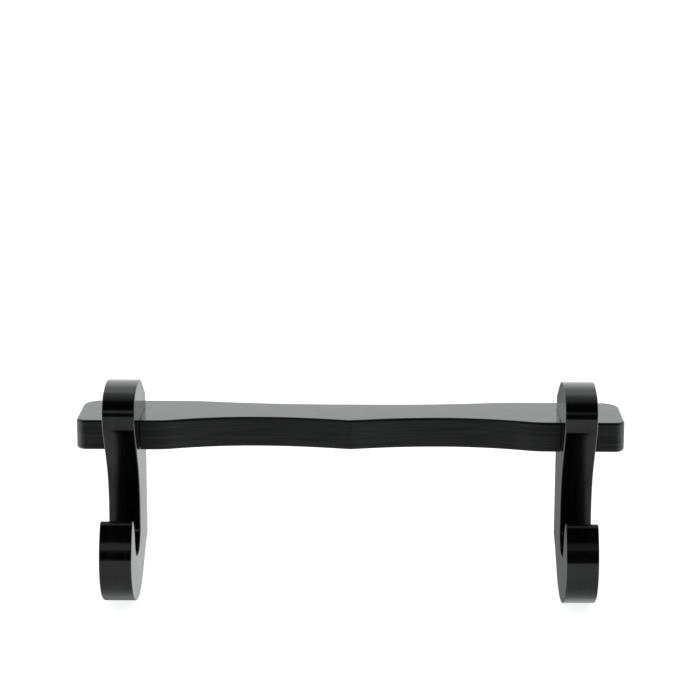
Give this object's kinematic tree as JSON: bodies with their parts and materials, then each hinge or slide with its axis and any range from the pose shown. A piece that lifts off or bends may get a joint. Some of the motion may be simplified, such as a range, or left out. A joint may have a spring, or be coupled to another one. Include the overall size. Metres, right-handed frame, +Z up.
{
  "type": "two-hook horizontal wall rack",
  "caption": "Horizontal wall rack: a flat black lacquered crossbar with shaped edges carries hooked brackets near its ends and hangs on keyhole plates.",
  "frame": {"origin": "on the wall face, at mid-length of the crossbar and at half its thickness", "axes": "+X along the crossbar, towards the right as seen from the room; +Y into the wall; +Z up. The hooks face -Y."},
  "size_m": [0.424, 0.142, 0.1659],
  "materials": {
    "black_lacquer": "gloss black lacquer on wood-fibre board",
    "zinc_plate": "bright zinc plate",
    "screw_steel": "yellow zinc plate"
  },
  "bodies": {
    "root": {"crossbar": "black_lacquer", "left_bracket": "black_lacquer", "right_bracket": "black_lacquer", "left_bracket_screw": "screw_steel", "right_bracket_screw": "screw_steel", "left_hanger_plate": "zinc_plate", "right_hanger_plate": "zinc_plate", "left_plate_screw_inner": "zinc_plate", "left_plate_screw_outer": "zinc_plate", "right_plate_screw_inner": "zinc_plate", "right_plate_screw_outer": "zinc_plate"}
  },
  "joints": []
}
